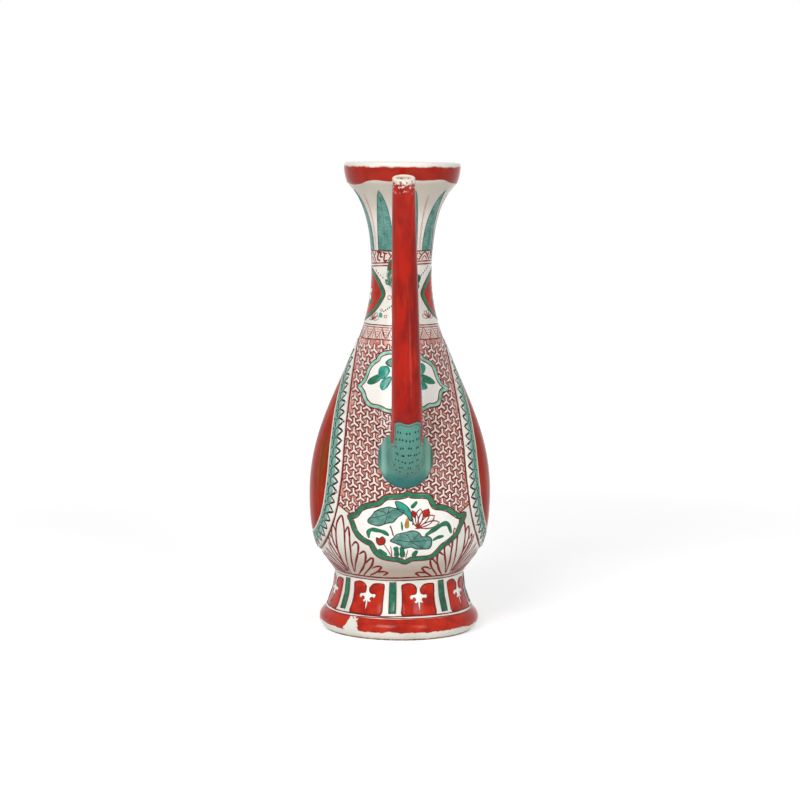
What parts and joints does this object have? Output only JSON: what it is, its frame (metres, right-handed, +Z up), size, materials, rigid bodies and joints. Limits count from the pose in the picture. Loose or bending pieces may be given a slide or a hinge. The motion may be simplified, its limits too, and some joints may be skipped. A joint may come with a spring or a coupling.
{
  "type": "spouted ewer",
  "caption": "Pear-shaped porcelain pouring ewer with a long bent spout, a strut to the neck, a strap handle and a hollow foot.",
  "frame": {"origin": "centre of the ring that the foot rests on", "axes": "+Z up along the vessel's axis, -Y towards the spout, +Y towards the handle"},
  "size_m": [0.117, 0.1532, 0.3],
  "materials": {
    "glazed_body": "clear grey-white glaze with enamel painting",
    "iron_red": "glossy iron-red enamel over the glaze",
    "green_enamel": "glossy turquoise-green enamel over the glaze"
  },
  "bodies": {
    "root": {"foot_ring": "glazed_body", "body_lower": "glazed_body", "body_upper": "glazed_body", "neck_tube": "glazed_body", "mouth_cup": "glazed_body", "side_panel_left": "iron_red", "side_panel_right": "iron_red", "spout_boss": "green_enamel", "spout_tube": "iron_red", "spout_strut": "iron_red", "handle_strap": "iron_red", "handle_terminal": "green_enamel"}
  },
  "joints": []
}
